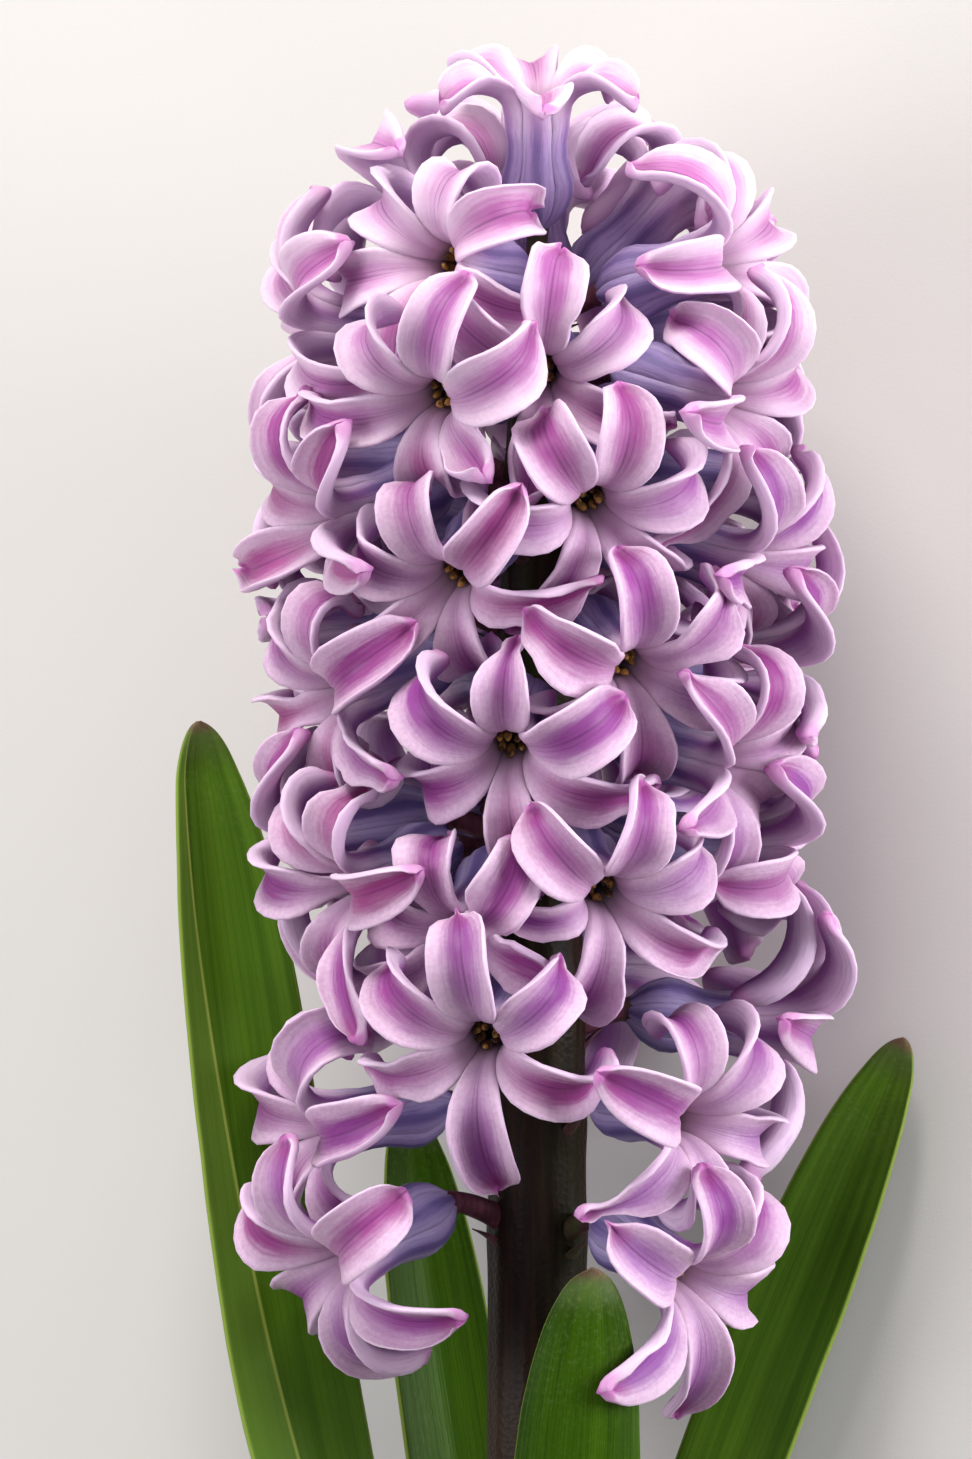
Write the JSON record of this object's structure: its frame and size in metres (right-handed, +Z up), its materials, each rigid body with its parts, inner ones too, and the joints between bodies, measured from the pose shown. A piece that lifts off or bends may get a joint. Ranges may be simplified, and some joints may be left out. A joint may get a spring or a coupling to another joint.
{
  "type": "hyacinth flower",
  "caption": "Picked hyacinth flower lying down: a dense spike of recurved lilac florets on a dark stalk, with strap leaves round its foot.",
  "frame": {"origin": "centre of the footprint, on the surface that the stem lies on", "axes": "+Y along the stem from its cut end to the flower head, +Z up from the surface, +X to the flower's right as seen from above"},
  "size_m": [0.0866, 0.2678, 0.0846],
  "materials": {
    "scape": "satin",
    "leaf": "satin",
    "petal": "matte"
  },
  "bodies": {
    "root": {"scape": "scape", "leaf_front": "leaf", "leaf_right": "leaf", "leaf_back": "leaf", "leaf_left": "leaf", "floret_01": "petal", "floret_02": "petal", "floret_03": "petal", "floret_04": "petal", "floret_05": "petal", "floret_06": "petal", "floret_07": "petal", "floret_08": "petal", "floret_09": "petal", "floret_10": "petal", "floret_11": "petal", "floret_12": "petal", "floret_13": "petal", "floret_14": "petal", "floret_15": "petal", "floret_16": "petal", "floret_17": "petal", "floret_18": "petal", "floret_19": "petal", "floret_20": "petal", "floret_21": "petal", "floret_22": "petal", "floret_23": "petal", "floret_24": "petal", "floret_25": "petal", "floret_26": "petal", "floret_27": "petal", "floret_28": "petal", "floret_29": "petal", "floret_30": "petal", "floret_31": "petal", "floret_32": "petal", "floret_33": "petal", "floret_34": "petal", "floret_35": "petal", "floret_36": "petal", "floret_37": "petal", "floret_38": "petal", "floret_39": "petal", "floret_40": "petal", "floret_41": "petal", "floret_42": "petal", "floret_43": "petal", "floret_44": "petal", "floret_45": "petal", "floret_46": "petal"}
  },
  "joints": []
}
